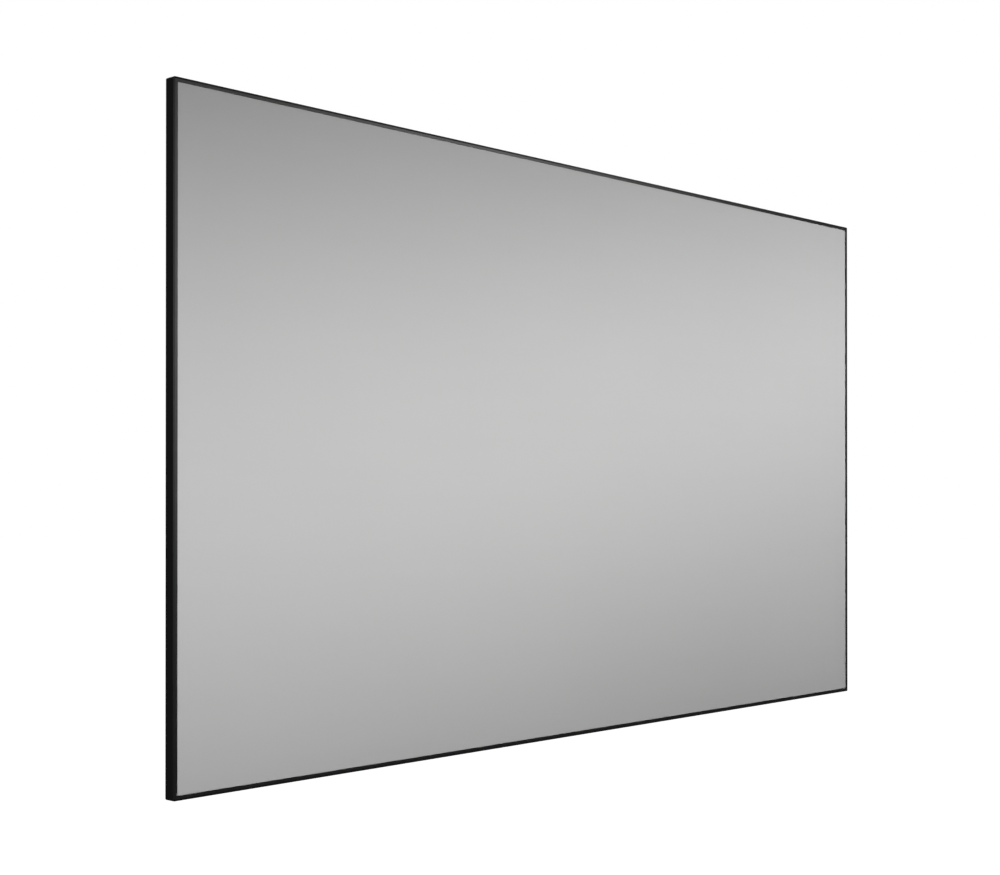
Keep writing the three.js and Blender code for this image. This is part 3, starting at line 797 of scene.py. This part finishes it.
def area_lamp(name, place, facing, size, radiance, up=(0, 0, 1), glossy=True, diffuse=True):
    """A rectangular lamp that the camera doesn't see. Its radiance is 1 for plain white."""
    data = bpy.data.lights.new(name, "AREA")
    data.shape = "RECTANGLE"
    data.size, data.size_y = size
    data.energy = radiance * math.pi * size[0] * size[1]
    lamp = bpy.data.objects.new(name, data)
    back = -Vector(facing).normalized()
    across = Vector(up).cross(back).normalized()
    lamp.matrix_world = Matrix.Translation(place) @ Matrix(
        (across, back.cross(across), back)
    ).transposed().to_4x4()
    lamp.visible_camera = False
    lamp.visible_glossy = glossy
    lamp.visible_diffuse = diffuse
    scene.collection.objects.link(lamp)


def build_lights():
    """A long tilted strip and a small fill wash the film. A broad softbox gives the bezel
    its sheen, and a small one the brighter stretch of its top. On the back, a soft lamp lights
    without a glint, a low sheet gives the sheen, and one more rakes down from above."""
    # The strip's slope along the screen, and how far it looks down, in radians
    slope, pitch = 0.151, 0.449
    up = (-math.sin(slope) * math.cos(pitch), math.sin(pitch), math.cos(slope) * math.cos(pitch))
    facing = Vector(up).cross(Vector((math.cos(slope), 0, math.sin(slope))))
    # Each lamp's place, the way that it faces, its width and height, and its radiance
    area_lamp("film wash", (0.812, -1.022, 0.372), facing, (6, 0.05), 52.2, up=up, glossy=False)
    area_lamp("film fill", (1, -0.45, -0.56), (0, 1, 0), (0.3, 0.3), 0.42, glossy=False)
    area_lamp("bezel softbox", (3.3, -7.3, 1.15), (-3.3, 7.3, 0), (8.2, 2.6), 2, diffuse=False)
    area_lamp("bezel key", (5.55, -5.75, 2), (-5.55, 5.75, 0), (1.6, 1.7), 2.8, diffuse=False)
    area_lamp("back softbox", (2.8, 3.6, 2.2), (-0.55, -1, -0.4), (2.6, 2.6), 7, glossy=False)
    area_lamp("back sheen", (0.6, 4.5, -0.1), (0, -1, 0), (3.2, 1.4), 2.6, diffuse=False)
    area_lamp("back rake", (-0.7, 1.3, 2.5), (0.1, -0.5, -1), (2.4, 0.8), 9, up=(0, 1, 0))


def build_world():
    """White behind the screen, and a dim even light all round."""
    white, dim = 1, 0.075
    world = bpy.data.worlds.new("studio")
    scene.world = world
    world.use_nodes = True
    tree = world.node_tree
    tree.nodes.clear()
    seen = tree.nodes.new("ShaderNodeLightPath")
    level = tree.nodes.new("ShaderNodeMapRange")
    level.inputs["To Min"].default_value = dim
    level.inputs["To Max"].default_value = white
    backdrop = tree.nodes.new("ShaderNodeBackground")
    backdrop.inputs["Color"].default_value = grey(1)
    output = tree.nodes.new("ShaderNodeOutputWorld")
    tree.links.new(seen.outputs["Is Camera Ray"], level.inputs["Value"])
    tree.links.new(level.outputs["Result"], backdrop.inputs["Strength"])
    tree.links.new(backdrop.outputs["Background"], output.inputs["Surface"])


def build_floor():
    """A pale floor, far below the screen, which hangs on a wall."""
    reach, drop = 120, 3
    level = -HALF_HEIGHT - drop
    pale = grey(0.9)
    paint = Finish("pale floor").surface(
        {"Base Color": pale, "Roughness": 0.9, "Emission Color": pale, "Emission Strength": 1.1}
    )
    corners = [(reach * x, reach * y, level) for x, y in ((-1, -1), (1, -1), (1, 1), (-1, 1))]
    mesh = bpy.data.meshes.new("floor")
    mesh.from_pydata(corners, [], [(0, 1, 2, 3)])
    mesh.materials.append(paint)
    floor = bpy.data.objects.new("floor", mesh)
    floor.visible_diffuse = False
    floor.visible_glossy = False
    scene.collection.objects.link(floor)


def film_cut():
    """The sheet's cut, unfolded, as its size and its area: the front and a flap on each side,
    less the notches at the corners and the windows in the hem."""
    line, marks = flap_profile()
    stretches = [math.dist(a, b) for a, b in pairwise(line)]
    flap = sum(stretches)
    window_depth = sum(stretch for stretch, cut in zip(stretches, marks) if cut)
    width, height = (2 * (half - RAIL_IN - BEND_RADIUS) for half in (HALF_WIDTH, HALF_HEIGHT))
    area = width * height
    for _, half_length, _ in SIDES.values():
        windows = 2 * len(spring_places(half_length))
        area += 2 * (half_length - CORNER_NOTCH) * flap - windows * HEM_WINDOW * window_depth
    return (width + 2 * flap, height + 2 * flap), area


scene.view_settings.view_transform = "Standard"
scene.view_settings.look = "None"
scene.view_settings.exposure = 0
scene.view_settings.gamma = 1

build_camera()
build_lights()
build_world()
build_floor()
film = build_film()
build_rods_and_springs()
build_screws()
build_bezels()
build_bent_parts()
finish_nodes()

flat_size, flat_area = film_cut()
